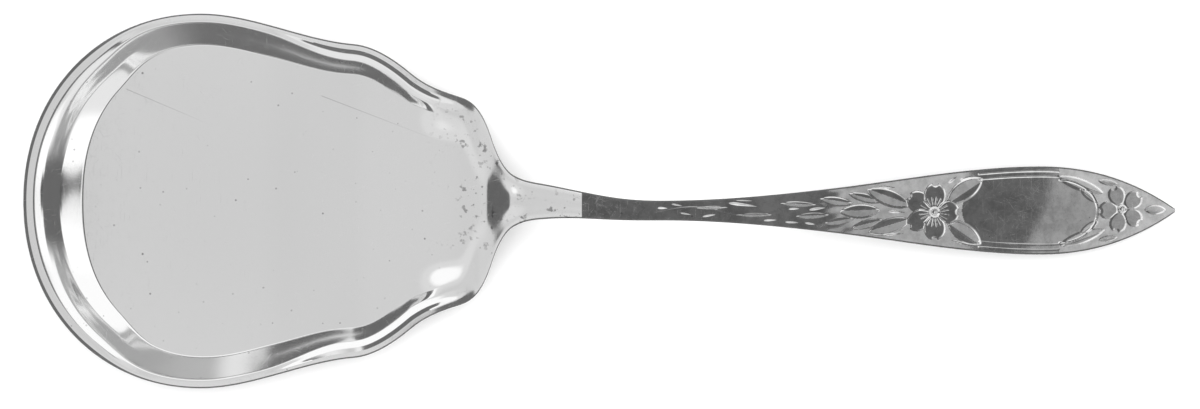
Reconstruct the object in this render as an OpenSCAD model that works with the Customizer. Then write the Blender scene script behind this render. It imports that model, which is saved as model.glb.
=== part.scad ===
// Sugar spoon: a wide bowl with two waists on each shoulder, a slim stem and a lance-shaped handle.
// The bowl is one raised sheet that ends in a flat shank. The handle is one bar, and the tongue
// below its front end is soldered under the shank and the heel of the bowl.
// X runs along the spoon towards the handle's tip and Z is up. The spoon lies as on a table, on the
// flat under its bowl and on the tip of its handle. Lengths are in millimetres, and a place on the
// spoon is its distance along X from the tip of the bowl.

/* [Bowl, seen from above] */
// From the tip of the bowl to its widest place
tip_to_widest = 23.5; // [18:0.5:30]
// From the widest place to the first shoulder
widest_to_shoulder = 20; // [14:0.5:28]
// From the first shoulder to the waist behind it
shoulder_to_waist = 7.5; // [6:0.5:12]
// From the waist to the second shoulder
waist_to_corner = 6; // [4:0.5:10]
// From the second shoulder to the heel
corner_to_heel = 4.6; // [3.5:0.1:8]
// From the heel to the throat of the neck
heel_to_throat = 2.9; // [2.5:0.1:6]
// Width of the bowl at its widest place
bowl_width = 49.2; // [44:0.2:60]
// Width at the first shoulder
shoulder_width = 41.2; // [36:0.2:46]
// Width at the waist behind the first shoulder
waist_width = 33.6; // [29:0.2:36]
// Width at the second shoulder
corner_width = 27.6; // [23:0.2:30]
// Width at the heel
heel_width = 16.6; // [13:0.2:20]

/* [Bowl, sheet and depth] */
// Thickness of the sheet
sheet = 1; // [0.7:0.05:1.4]
// Inside depth at the widest place
bowl_depth = 5; // [4:0.1:7]
// How much the floor rises from its middle to its sides
floor_dish = 0.7; // [0.4:0.1:1]
// Width of the flat that the bowl rests on
foot_width = 18; // [10:0.5:26]
// From the widest place to the back of that flat
foot_run = 7; // [4:0.5:12]
// From the first shoulder to the middle of the floor's climb
shoulder_to_climb = 4; // [3:0.5:5]
// Width of the flat band along the rim
rim_band = 1; // [0.8:0.1:1.6]
// Width of that band at the tip
tip_band = 2.05; // [1.6:0.05:2.5]
// Width of that band from the first shoulder on
shoulder_band = 2.1; // [1.6:0.1:2.6]
// How far the inner side of the band steps down there
ledge_drop = 0.75; // [0.4:0.05:1]
// How far its inner side slopes down at the tip
tip_ledge_drop = 0.3; // [0.1:0.05:0.5]
// How far that band falls towards its outer edge
band_fall = 0.05; // [0:0.01:0.1]
// Width of the broken outer edge of the rim and the bar
edge_break = 0.2; // [0.1:0.05:0.4]
// Width of the broken edge at the tip of the bowl
tip_edge_break = 0.45; // [0.2:0.05:0.6]
// Height of that broken edge
edge_fall = 0.4; // [0.1:0.05:0.5]
// Height of the rim over the lower side of its edge
edge_height = 0.75; // [0.75:0.05:0.9]
// Run of the wall from the floor to the rim at the tip
tip_wall_run = 5.45; // [4.5:0.05:7]
// Run of the wall from the floor to the rim at the sides
side_wall_run = 3.05; // [2.6:0.05:3.5]
// Run of the wall at the first shoulder
shoulder_wall_run = 1.8; // [1.5:0.05:2.2]
// Run of the wall in the middle of the floor's climb
climb_wall_run = 1.6; // [1.4:0.05:1.9]
// Run of the wall at the waist
waist_wall_run = 1; // [0.85:0.05:1.2]
// Run of the wall at the second shoulder
corner_wall_run = 1; // [0.8:0.05:1.4]
// From the place where the wall starts to fade into the floor to the waist
fade_lead = 0; // [0:0.1:1]
// Run over which it fades
fade_run = 4.6; // [4:0.1:6]
// Share of the rise that the gentle foot of the wall takes at the tip
tip_cone_share = 0.345; // [0.3:0.005:0.4]
// Run of the wall outside the bowl against its run inside
wall_spread = 0.75; // [0.7:0.05:0.9]
// How much further the wall reaches outside than inside
wall_margin = 2.4; // [2.1:0.05:2.6]
// The same at the tip
tip_wall_margin = 5.4; // [4:0.1:6]
// How far the rim dips at the tip
tip_dip = 1; // [0.5:0.1:1.5]
// How far the rim rises from the widest place to the back of the waist
rim_rise = 0.35; // [0.2:0.05:0.5]
// How far the rim falls again from the waist to the heel
heel_dip = 0.2; // [0:0.05:0.3]
// Half width of the step up into the neck
step_reach = 6.2; // [4.5:0.1:7]
// Share of the depth that the floor has climbed at the first shoulder
shoulder_share = 0.26; // [0.2:0.02:0.34]
// Share of the depth that the floor has climbed between the first shoulder and the waist
climb_share = 0.44; // [0.38:0.02:0.5]
// Share of the depth that the floor has climbed at the waist
waist_share = 0.62; // [0.56:0.02:0.7]
// Share of the depth that the floor has climbed at the second shoulder
corner_share = 0.9; // [0.88:0.01:0.94]
// From the foot of the step up into the neck to the heel of the outline
step_lead = 1.2; // [0.6:0.1:1.8]

/* [Neck] */
// From the throat to the place where the neck is level
throat_to_neck = 3.5; // [2.5:0.1:6]
// From there to the end of the bowl's shank
neck_to_seam = 5.5; // [4:0.1:9]
// Width at the throat
throat_width = 6.8; // [5.4:0.1:8]
// Width where the neck is level
neck_width = 4.7; // [4:0.1:5.4]
// Width at the end of the shank
seam_width = 3.5; // [3:0.1:4]
// Height of the neck's top over the table, where the shank ends
neck_height = 10; // [9.4:0.1:11]
// How far the neck still climbs from its level place to the end of the shank
neck_climb = 0.25; // [0.1:0.05:0.5]
// How far the top of the step lies below the end of the shank
throat_drop = 0.5; // [0.4:0.05:0.7]
// Height of the step's foot over the rim at the widest place
step_foot_height = 0.05; // [0:0.05:0.2]
// Run of the rounding at the foot of the step
step_foot_run = 0.5; // [0.4:0.1:1]
// Rise of the step over that rounding
step_foot_rise = 0.25; // [0.15:0.05:0.4]
// From the rounding at the top of the step to the throat of the outline
step_top_lead = 0.2; // [0:0.1:0.4]
// Run of that rounding
step_top_run = 0.5; // [0.4:0.1:1]
// Rise of the step over that rounding
step_top_rise = 0.2; // [0.1:0.05:0.4]
// From the place where the rim starts to climb to the foot of the step
rim_climb_lead = 0.6; // [0.3:0.1:1]
// How much the top is crowned across, at the throat
throat_crown_height = 0.4; // [0.3:0.05:0.7]
// How much the top is crowned across, where the neck is level
neck_crown_height = 0.02; // [0:0.01:0.1]

/* [Handle] */
// From the end of the shank to the slimmest place of the stem
seam_to_stem = 10.5; // [6:0.5:16]
// From there to the middle of the taper
stem_to_taper = 22; // [16:0.5:30]
// From there to the widest place of the panel
taper_to_panel = 28; // [20:0.5:36]
// From there to the tip
panel_to_tip = 18; // [12:0.5:26]
// Width of the stem at its slimmest place
stem_width = 2.6; // [2.2:0.05:3.2]
// Width at the middle of the taper
taper_width = 5.7; // [4.4:0.1:7]
// Width of the panel
panel_width = 11.6; // [9:0.1:15]
// Width of the blunt end of the tip
tip_width = 0.4; // [0.3:0.05:1]
// Thickness of the bar behind the shank
stem_depth = 3; // [2.6:0.1:4]
// Thickness of the panel
panel_depth = 1.9; // [1.4:0.1:2.6]
// Thickness of the tip
tip_depth = 1.2; // [0.9:0.1:1.6]
// How much the top is crowned across, at the panel's widest place
crown_height = 0.25; // [0.1:0.05:0.4]
// Share of the panel's thickness that lies above its rounded back
panel_side_share = 0.62; // [0.5:0.02:0.7]
// How far the handle stands to one side of the bowl's middle
handle_set = 1.25; // [0:0.05:2]

/* [Soldered lap] */
// How far the tongue runs under the bowl in front of the heel
tongue_run = 5; // [3:0.1:7]
// Width of the tongue at its widest place
tongue_width = 3.8; // [3:0.1:4.4]
// Width of the tongue's end
tongue_end_width = 2.4; // [1.6:0.1:2.8]
// Thickness of the tongue's end
tongue_end_depth = 0.6; // [0.4:0.05:1]
// How far the tongue stands back from the shank's edges
lap_ledge = 0.4; // [0.3:0.05:0.6]
// Thickness of the solder
solder_film = 0.1; // [0.05:0.01:0.2]

/* [Hidden] */

// Places along the spoon
widest_at = tip_to_widest;
foot_at = widest_at + foot_run;
shoulder_at = widest_at + widest_to_shoulder;
climb_at = shoulder_at + shoulder_to_climb;
waist_at = shoulder_at + shoulder_to_waist;
corner_at = waist_at + waist_to_corner;
heel_at = corner_at + corner_to_heel;
throat_at = heel_at + heel_to_throat;
neck_at = throat_at + throat_to_neck;
seam_at = neck_at + neck_to_seam;
stem_at = seam_at + seam_to_stem;
taper_at = stem_at + stem_to_taper;
panel_at = taper_at + taper_to_panel;
tip_at = panel_at + panel_to_tip;
lap_at = heel_at - tongue_run;
step_at = heel_at - step_lead;
step_top_at = throat_at - step_top_lead;
middle_at = tip_at / 2;

// Heights over the table
floor_z = sheet;
rim_z = floor_z + bowl_depth;
step_z = rim_z + step_foot_height;
throat_z = neck_height - throat_drop;
neck_spine_z = neck_height - neck_climb;
handle_fall = neck_height - tip_depth;

// A key is a place, the value there and an ease. The ease is the curve's slope at the key against
// the slope between the keys on its two sides, so 0 is level and over 1 is steeper.
outline_keys = [
    [widest_at, bowl_width / 2, 0],
    [shoulder_at, shoulder_width / 2, 0.3],
    [waist_at, waist_width / 2, 1.65],
    [corner_at, corner_width / 2, 0.4],
    [heel_at, heel_width / 2, 2.2],
    [throat_at, throat_width / 2, 0.65],
    [neck_at, neck_width / 2, 0.7],
    [seam_at, seam_width / 2, 1.3],
    [stem_at, stem_width / 2, 0],
    [taper_at, taper_width / 2, 1.3],
    [panel_at, panel_width / 2, 0],
    [tip_at, tip_width / 2, 2.2],
];
spine_keys = [
    [widest_at, floor_z, 0],
    [foot_at, floor_z, 0],
    [shoulder_at, floor_z + shoulder_share * bowl_depth, 1.2],
    [climb_at, floor_z + climb_share * bowl_depth, 1],
    [waist_at, floor_z + waist_share * bowl_depth, 1],
    [corner_at, floor_z + corner_share * bowl_depth, 0.9],
    [step_at, step_z, 1],
    [step_at + step_foot_run, step_z + step_foot_rise, 1],
    [step_top_at, throat_z - step_top_rise, 1],
    [step_top_at + step_top_run, throat_z, 1],
    [neck_at, neck_spine_z, 1],
    [seam_at, neck_height, 1],
];
rim_keys = [
    [widest_at, rim_z, 0],
    [mix(waist_at, corner_at, 0.5), rim_z + rim_rise, 0],
    [corner_at, rim_z + rim_rise - heel_dip / 2, 1],
    [step_at - rim_climb_lead, rim_z + rim_rise - heel_dip, 0.2],
    [throat_at, throat_z - throat_crown_height, 1.2],
    [neck_at, neck_spine_z - neck_crown_height, 0.7],
    [seam_at, neck_height - crown_height * (seam_width / panel_width) ^ 2, 1],
];
// The run of the wall along the sides
run_keys = [
    [widest_at, side_wall_run, 0],
    [foot_at, side_wall_run, 0],
    [shoulder_at, shoulder_wall_run, 0],
    [climb_at, climb_wall_run, 0.3],
    [waist_at, waist_wall_run, 1],
    [corner_at, corner_wall_run, 0],
];
// The wall's rise against its run: at the sides a steep face with a short rounding at both ends, and at
// the tip a gentle cone with a share of the rise, a steeper face and a short roll into the rim
side_wall_keys = [[0, 0, 0], [0.08, 0.04, 0.96], [0.5, 0.5, 1.1], [0.92, 0.96, 0.96], [1, 1, 0]];
tip_wall_keys = [
    [0, 0, 0],
    [0.04, 0.046 * tip_cone_share, 1],
    [0.5, tip_cone_share, 0.85],
    [0.72, mix(tip_cone_share, 1, 0.46), 1],
    [0.92, 0.93, 0.9],
    [1, 1, 0.7],
];
// The step in the band along the rim: share of the band's width, share of the drop along the sides,
// and share of the drop at the tip
ledge_steps = [[0.42, 0.35, 0.95], [0.7, 1, 1]];
depth_keys = [
    [seam_at, stem_depth, 0],
    [panel_at, panel_depth, 1],
    [tip_at, tip_depth, 1],
];
seam_share = (sheet + solder_film) / stem_depth;

// How finely each stretch is cut
fan_steps = 20;
lap_steps = [[lap_at, 16], [throat_at, 6], [neck_at, 5]];
bowl_steps = concat([[widest_at, 6], [foot_at, 8], [shoulder_at, 8], [waist_at, 8]], lap_steps);
handle_steps = [[seam_at, 8], [stem_at, 16], [taper_at, 20], [panel_at, 20]];
floor_fractions = [0.3, 0.65, 1];
wall_fractions = [0.06, 0.24, 0.42, 0.6, 0.78, 0.9, 1];
under_fractions = [0.95, 0.9, 0.85, 0.79, 0.73, 0.66, 0.58, 0.48, 0.34, 0.18, 0];
top_fractions = [1, 0.8, 0.55, 0.28, 0, -0.28, -0.55, -0.8, -1];
// The rounded underside of the bar: share of its half width, share of its depth
belly = [[0.94, 0.4], [0.62, 0.86], [0, 1], [-0.62, 0.86], [-0.94, 0.4]];

// Curves
function clamp(t) = max(0, min(1, t));
function mix(a, b, t) = a + (b - a) * t;
function smooth(t) = let (c = clamp(t)) c * c * c * (10 - 15 * c + 6 * c * c);
function chord(a, b) = (b[1] - a[1]) / (b[0] - a[0]);
function key_slope(keys, i) = keys[i][2] * chord(keys[max(0, i - 1)], keys[min(len(keys) - 1, i + 1)]);
function hermite(keys, i, s) =
    let (
        a = keys[i],
        b = keys[i + 1],
        h = b[0] - a[0],
        t = (s - a[0]) / h
    )
    a[1] * (1 + 2 * t) * (1 - t) ^ 2 + h * key_slope(keys, i) * t * (1 - t) ^ 2
    + b[1] * t * t * (3 - 2 * t) + h * key_slope(keys, i + 1) * t * t * (t - 1);
function along(keys, s, i = 0) =
    i == len(keys) - 2 || s <= keys[i + 1][0] ? hermite(keys, i, s) : along(keys, s, i + 1);
function slope(keys, s) = (along(keys, s + 0.01) - along(keys, s - 0.01)) / 0.02;

function reach(s) = along(outline_keys, s);
function spine(s) =
    s <= seam_at
        ? along(spine_keys, s)
        : let (t = (s - seam_at) / (tip_at - seam_at)) neck_height - handle_fall * mix(t * t, t, 0.25);
function under_spine(s) = max(0, spine(s) - sheet * norm([1, slope(spine_keys, s)]));
function sideways(s) = -handle_set * smooth((s - throat_at) / (stem_at - throat_at));

// Half width of the flat under the spine: the foot, and further on the seat of the tongue
function tongue_half(s) =
    min(
        reach(s) - lap_ledge,
        mix(tongue_end_width, tongue_width, clamp((s - lap_at) / (neck_at - lap_at))) / 2
    );
function seat(s) =
    s >= lap_at
        ? tongue_half(s)
        : mix(foot_width / 2, tongue_end_width / 2, clamp((s - foot_at) / (lap_at - foot_at)));

// The places where a run of [start, steps] stretches is cut, up to its end
function stations(steps, end) = [
    for (i = [0:len(steps) - 1])
        let (next = i + 1 < len(steps) ? steps[i + 1][0] : end)
        for (j = [0:steps[i][1] - 1]) mix(steps[i][0], next, j / steps[i][1]),
    end,
];

// One half section of the bowl, from beside the spine over the rim and back below, as [reach, height].
// The wall fades into a plain slope where the floor has climbed to the rim: fade is 0 for the wall and
// 1 for the slope, which runs from one reach to another.
function half_section(w, band, drop, run, front, seat, top, rim, under, edge, dish, fade, start, end) =
    let (
        ledge = rim - drop,
        inner = w - band,
        wall = min(run, 0.9 * inner),
        out_wall = min(wall_spread * wall + mix(wall_margin, tip_wall_margin, front), w - seat),
        broken = mix(edge_break, tip_edge_break, front),
        lift = mix(dish, ledge - top, fade)
    )
    [
        for (f = floor_fractions)
            let (r = f * (inner - wall))
            [r, top + mix(dish * (r / inner) ^ 2, (ledge - top) * sloped(r, start, end), fade)],
        for (f = wall_fractions)
            let (r = inner - wall + f * wall, d = dish * (r / inner) ^ 2)
            [
                r,
                mix(
                    top + d + (ledge - top - d) * wall_rise(f, front),
                    top + (ledge - top) * sloped(r, start, end),
                    fade
                ),
            ],
        for (p = ledge_steps)
            [mix(inner, w - broken, p[0]), ledge + drop * mix(p[1], p[2], front) - band_fall * p[0] ^ 2],
        [w - broken, rim - band_fall],
        [w, rim - band_fall - edge_fall],
        [w, edge],
        for (f = under_fractions)
            let (
                r = mix(seat, w, f),
                t = clamp((r - w + out_wall) / out_wall)
            )
            [
                r,
                under + mix(dish * f * f, (ledge - top) * sloped(r, start, end), fade)
                    + (edge - under - lift) * t * t,
            ],
    ];
function sloped(r, start, end) = smooth((r - start) / (end - start));
function wall_rise(f, front) = mix(along(side_wall_keys, f), along(tip_wall_keys, f), front);

function bowl_section(s) =
    let (
        w = reach(s),
        lean = min(1.8, norm([1, slope(outline_keys, s)])),
        rim = along(rim_keys, s),
        under = under_spine(s),
        level = clamp((s - throat_at) / (neck_at - throat_at)),
        shoulder = smooth((s - foot_at) / (shoulder_at - foot_at)),
        shank = smooth((s - corner_at) / (throat_at - corner_at)),
        band = min(mix(mix(rim_band, shoulder_band, shoulder) * lean, 2 * edge_fall, shank), 0.4 * w),
        drop = ledge_drop * shoulder * (1 - smooth((s - waist_at) / (step_at - waist_at))),
        inner = w - band,
        heel = smooth((s - corner_at) / (heel_at - corner_at)),
        end = mix(inner, min(inner, step_reach), heel)
    )
    half_section(
        w,
        band,
        drop,
        along(run_keys, min(s, corner_at)) * lean,
        0,
        seat(s),
        spine(s),
        rim,
        under,
        mix(rim - edge_height, under, level),
        floor_dish * (1 - smooth((s - widest_at) / (corner_at - widest_at))),
        smooth((s - waist_at + fade_lead) / fade_run),
        end * mix(0.62, 0.1, heel),
        end
    );

// The front of the bowl is a fan of sections round the widest place. Its outline is a little
// fuller than an ellipse.
fullness = 2.08;
function fan_reach(a) =
    (abs(cos(a) / tip_to_widest) ^ fullness + abs(2 * sin(a) / bowl_width) ^ fullness) ^ (-1 / fullness);
function fan_section(a) =
    let (
        rim = rim_z - tip_dip * cos(a) ^ 2,
        front = smooth(2.5 * cos(a) ^ 2)
    )
    half_section(
        fan_reach(a),
        mix(rim_band, tip_band, front),
        tip_ledge_drop * front,
        mix(side_wall_run, tip_wall_run, cos(a) ^ 2),
        front,
        foot_width / 2,
        floor_z,
        rim,
        0,
        rim - edge_height,
        floor_dish,
        0,
        0,
        1
    );

function fan_point(a, side, p) = [widest_at + p[0] * cos(a) - middle_at, side * p[0] * sin(a), p[1]];
function section_point(s, side, p) = [s - middle_at, side * p[0] + sideways(s), p[1]];

// Two triangles for each cell between two rows of points
function cell(a, b, c, d) = [[a, c, b], [a, d, c]];

module bowl() {
    places = stations(bowl_steps, seam_at);
    ns = len(places) - 1;
    nf = fan_steps;
    last = 2 * (ns + nf);
    size = len(bowl_section(seam_at));
    // Ribs run from the shank along one side, round the tip and back along the other side
    ribs = [
        for (i = [0:ns]) [for (p = bowl_section(places[ns - i])) section_point(places[ns - i], 1, p)],
        for (i = [1:nf]) let (a = 90 + 90 * i / nf) [for (p = fan_section(a)) fan_point(a, 1, p)],
        for (i = [nf - 1:-1:1]) let (a = 90 + 90 * i / nf) [for (p = fan_section(a)) fan_point(a, -1, p)],
        for (i = [0:ns]) [for (p = bowl_section(places[i])) section_point(places[i], -1, p)],
    ];
    top_line = [for (s = places) section_point(s, 1, [0, spine(s)])];
    low_line = [for (s = places) section_point(s, 1, [0, under_spine(s)])];
    points = concat([for (rib = ribs) each rib], top_line, low_line);
    // The place on the spine that a rib starts from
    function root(l) = l <= ns ? ns - l : l >= last - ns ? l - last + ns : 0;
    function at(l, m) = l * size + m;
    function top_at(l) = (last + 1) * size + root(l);
    function low_at(l) = top_at(l) + ns + 1;
    faces = [
        for (l = [0:last - 1])
            for (m = [0:size - 2])
                each cell(at(l, m), at(l, m + 1), at(l + 1, m + 1), at(l + 1, m)),
        for (l = [0:last - 1])
            each root(l) == root(l + 1)
                ? [
                    [top_at(l), at(l + 1, 0), at(l, 0)],
                    [low_at(l), at(l, size - 1), at(l + 1, size - 1)],
                ]
                : concat(
                    cell(top_at(l), at(l, 0), at(l + 1, 0), top_at(l + 1)),
                    cell(low_at(l), low_at(l + 1), at(l + 1, size - 1), at(l, size - 1))
                ),
        // The end of the shank, in cells from its top to its underside
        for (m = [0:size / 2 - 2])
            each concat(
                cell(at(0, m), at(0, size - 1 - m), at(0, size - 2 - m), at(0, m + 1)),
                cell(at(last, m), at(last, m + 1), at(last, size - 2 - m), at(last, size - 1 - m))
            ),
        each cell(top_at(0), low_at(0), at(0, size - 1), at(0, 0)),
        each cell(top_at(last), at(last, 0), at(last, size - 1), low_at(last)),
    ];
    color("silver") polyhedron(points, faces, convexity = 6);
}

// A skin over loops of equal length, open at both ends
function skin(loops, size, first = 0) = [
    for (i = [0:loops - 2])
        for (j = [0:size - 1])
            let (k = (j + 1) % size)
            each cell(
                first + i * size + j,
                first + (i + 1) * size + j,
                first + (i + 1) * size + k,
                first + i * size + k
            ),
];

module solder_seam() {
    places = stations(lap_steps, seam_at);
    loops = [
        for (s = places)
            let (y = tongue_half(s), z = under_spine(s))
            [
                for (p = [[y, z], [y, z - solder_film], [-y, z - solder_film], [-y, z]])
                    section_point(s, 1, p),
            ],
    ];
    count = len(places);
    faces = concat(
        skin(count, 4),
        [[3, 2, 1, 0], [for (j = [0:3]) (count - 1) * 4 + j]]
    );
    color("gainsboro") polyhedron([for (loop = loops) each loop], faces, convexity = 4);
}

// The bar's rounded underside below a level: half width, level, depth
function belly_points(y, z, depth) = [for (b = belly) [b[0] * y, z - b[1] * depth]];

function tongue_loop(s) =
    let (
        y = tongue_half(s),
        z = under_spine(s) - solder_film,
        depth = mix(tongue_end_depth, stem_depth - sheet - solder_film, (s - lap_at) / (seam_at - lap_at))
    )
    concat(belly_points(y, z, depth), [[-y, z], [y, z]]);

function stem_loop(s) =
    let (
        w = reach(s),
        z = spine(s),
        depth = along(depth_keys, s),
        share = mix(seam_share, panel_side_share, smooth((s - seam_at) / (taper_at - seam_at))),
        low = z - share * depth,
        y = max(w - lap_ledge, 0.6 * w),
        broken = min(edge_break, 0.4 * w),
        crest = min(crown_height * (2 * w / panel_width) ^ 2, 0.5 * (share * depth - edge_fall))
    )
    concat(
        belly_points(s == seam_at ? tongue_half(s) : y, low, depth * (1 - share)),
        [[-w, low], [-w, z - crest - edge_fall]],
        [for (i = [len(top_fractions) - 1:-1:0])
            let (q = top_fractions[i])
            [q * (w - broken), z - crest * q * q]],
        [[w, z - crest - edge_fall], [w, low]]
    );

module handle() {
    laps = stations(lap_steps, seam_at);
    bars = stations(handle_steps, tip_at);
    tongue = [for (s = laps) [for (p = tongue_loop(s)) section_point(s, 1, p)]];
    stem = [for (s = bars) [for (p = stem_loop(s)) section_point(s, 1, p)]];
    nb = len(belly);
    nt = len(tongue[0]);
    nm = len(stem[0]);
    // The tongue's underside runs on into the stem's, so its last loop is the stem's first points
    // and the two corners of its top.
    first = (len(laps) - 1) * nt;
    end = first + (len(bars) - 1) * nm;
    corners = end + nm;
    points = [
        for (i = [0:len(laps) - 2]) each tongue[i],
        for (loop = stem) each loop,
        for (j = [nb:nt - 1]) tongue[len(laps) - 1][j],
    ];
    function joined(i) = i < first + nb ? i : corners + i - first - nb;
    faces = concat(
        [for (f = skin(len(laps), nt)) [for (i = f) joined(i)]],
        skin(len(bars), nm, first),
        [
            [for (j = [nt - 1:-1:0]) j],
            [for (j = [0:nm - 1]) end + j],
            concat([corners, corners + 1, first], [for (j = [nm - 1:-1:nb - 1]) first + j]),
        ]
    );
    color("lightgrey") polyhedron(points, faces, convexity = 6);
}

bowl();
solder_seam();
handle();
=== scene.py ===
import math

import bmesh
import bpy
import numpy as np
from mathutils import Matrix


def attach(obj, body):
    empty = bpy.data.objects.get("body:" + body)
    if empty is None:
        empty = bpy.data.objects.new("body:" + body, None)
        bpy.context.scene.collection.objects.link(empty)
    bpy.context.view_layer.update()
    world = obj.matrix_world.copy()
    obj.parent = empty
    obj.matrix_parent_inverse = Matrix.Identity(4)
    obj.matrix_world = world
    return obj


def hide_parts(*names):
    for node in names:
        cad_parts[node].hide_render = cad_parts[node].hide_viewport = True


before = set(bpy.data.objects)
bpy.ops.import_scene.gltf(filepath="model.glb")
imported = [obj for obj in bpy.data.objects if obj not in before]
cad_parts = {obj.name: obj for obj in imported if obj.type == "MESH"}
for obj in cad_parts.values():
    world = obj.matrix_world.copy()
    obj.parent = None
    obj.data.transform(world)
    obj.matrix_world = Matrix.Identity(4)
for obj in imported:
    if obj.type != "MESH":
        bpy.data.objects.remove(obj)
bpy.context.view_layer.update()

# Bowl
# Raised from one sheet of silver about 1 mm thick, with a flat rim turned out of the wall and a short
# flat shank drawn up into the neck. It is polished all over and finely scratched by use.

# Lengths are in millimetres, but for the materials, the light and the camera, where they are in metres.
# A place is the distance along X from the bowl's tip.
WIDEST, FOOT, SHOULDER, CLIMB, WAIST, CORNER, STEP, HEEL = 23.5, 30.5, 43.5, 47.5, 51, 57, 60.4, 61.6
THROAT, NECK, SEAM, MIDDLE, STEM = 64.5, 68, 73.5, 76, 84
BOWL_WIDTH = 49.2
FOOT_WIDTH = 18
SHEET = 1
FLOOR_DISH = 0.7
FLOOR_HEIGHT = 1
RIM_HEIGHT = 6
TIP_DIP = 1
RIM_BAND = 1
TIP_BAND = 2.05
SHOULDER_BAND = 2.1
BAND_LIMIT = 0.4
LEDGE_DROP = 0.75
TIP_LEDGE_DROP = 0.3
LEDGE_FOOT, LEDGE_TOP = 0.42, 0.7
LEDGE_RISE, TIP_LEDGE_RISE = 0.35, 0.95
BAND_FALL = 0.05
EDGE_FALL = 0.4
EDGE_BREAK = 0.2
TIP_EDGE_BREAK = 0.45
EDGE_HEIGHT = 0.75
STEP_REACH = 6.2
FADE, FADE_RUN = 51, 4.6
SIDE_WALL_RUN = 3.05
TIP_WALL_RUN = 5.45
WALL_LIMIT = 0.9
WALL_SPREAD = 0.75
WALL_MARGIN = 2.4
TIP_WALL_MARGIN = 5.4
TIP_REACH = 2.5
TIP_FULLNESS = 2.08
LEAN_LIMIT = 1.8
CLIMB_START, HEEL_START = 0.62, 0.1
NECK_HALF, SEAM_HALF, STEM_HALF, PANEL_HALF = 2.35, 1.75, 1.3, 5.8
NECK_HEIGHT = 10
NECK_SPINE = 9.75
CROWN = 0.25
HANDLE_SET = 1.25
LAP = 56.6
LAP_LEDGE = 0.4
TONGUE_WIDTH = 3.8
TONGUE_END_WIDTH = 2.4


def curve(keys):
    """Smooth line through keys of place, value and how far the slope there follows the neighbours."""
    at, value, ease = np.array(keys, float).T
    order = np.arange(len(at))
    before = np.maximum(order - 1, 0)
    after = np.minimum(order + 1, len(at) - 1)
    slope = ease * (value[after] - value[before]) / (at[after] - at[before])

    def line(place):
        i = np.clip(np.searchsorted(at, place, side="right") - 1, 0, len(at) - 2)
        h = at[i + 1] - at[i]
        t = (place - at[i]) / h
        start = value[i] * (1 + 2 * t) * (1 - t) ** 2 + h * slope[i] * t * (1 - t) ** 2
        end = value[i + 1] * t**2 * (3 - 2 * t) + h * slope[i + 1] * t**2 * (t - 1)
        return start + end

    return line


def smooth(t):
    """Step from 0 to 1 that starts and ends level."""
    t = np.clip(t, 0, 1)
    return t**3 * (10 - 15 * t + 6 * t**2)


def mix(a, b, t):
    """Value between a and b."""
    return a + (b - a) * t


def steepness(line, place):
    """Slope of a line at a place."""
    return (line(place + 0.01) - line(place - 0.01)) / 0.02


bowl_half = curve([
    (WIDEST, BOWL_WIDTH / 2, 0),
    (SHOULDER, 20.6, 0.3),
    (WAIST, 16.8, 1.65),
    (CORNER, 13.8, 0.4),
    (HEEL, 8.3, 2.2),
    (THROAT, 3.4, 0.65),
    (NECK, NECK_HALF, 0.7),
    (SEAM, SEAM_HALF, 1.3),
    (STEM, STEM_HALF, 0),
])
bowl_spine = curve([
    (WIDEST, FLOOR_HEIGHT, 0),
    (FOOT, FLOOR_HEIGHT, 0),
    (SHOULDER, 2.3, 1.2),
    (CLIMB, 3.2, 1),
    (WAIST, 4.1, 1),
    (CORNER, 5.5, 0.9),
    (STEP, 6.05, 1),
    (STEP + 0.5, 6.3, 1),
    (THROAT - 0.2, 9.3, 1),
    (THROAT + 0.3, 9.5, 1),
    (NECK, NECK_SPINE, 1),
    (SEAM, NECK_HEIGHT, 1),
])
bowl_rim = curve([
    (WIDEST, RIM_HEIGHT, 0),
    ((WAIST + CORNER) / 2, 6.35, 0),
    (CORNER, 6.25, 1),
    (STEP - 0.6, 6.15, 0.2),
    (THROAT, 9.1, 1.2),
    (NECK, NECK_SPINE - 0.02, 0.7),
    (SEAM, NECK_HEIGHT - CROWN * (SEAM_HALF / PANEL_HALF) ** 2, 1),
])
wall_run = curve([
    (WIDEST, SIDE_WALL_RUN, 0),
    (FOOT, SIDE_WALL_RUN, 0),
    (SHOULDER, 1.8, 0),
    (CLIMB, 1.6, 0.3),
    (WAIST, 1, 1),
    (CORNER, 1, 0),
])
side_wall = curve([(0, 0, 0), (0.08, 0.04, 0.96), (0.5, 0.5, 1.1), (0.92, 0.96, 0.96), (1, 1, 0)])
tip_wall = curve([
    (0, 0, 0),
    (0.04, 0.016, 1),
    (0.5, 0.345, 0.85),
    (0.72, 0.646, 1),
    (0.92, 0.93, 0.9),
    (1, 1, 0.7),
])


def sideways(place):
    """How far the handle stands to one side of the bowl's middle."""
    return -HANDLE_SET * smooth((place - THROAT) / (STEM - THROAT))


def under_spine(place):
    """Underside of the sheet along the middle."""
    lean = np.hypot(1, steepness(bowl_spine, place))
    return np.maximum(0, bowl_spine(place) - SHEET * lean)


def tongue_half(place):
    """Half the width of the handle's tongue under the shank."""
    t = np.clip((place - LAP) / (NECK - LAP), 0, 1)
    return np.minimum(bowl_half(place) - LAP_LEDGE, mix(TONGUE_END_WIDTH, TONGUE_WIDTH, t) / 2)


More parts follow.
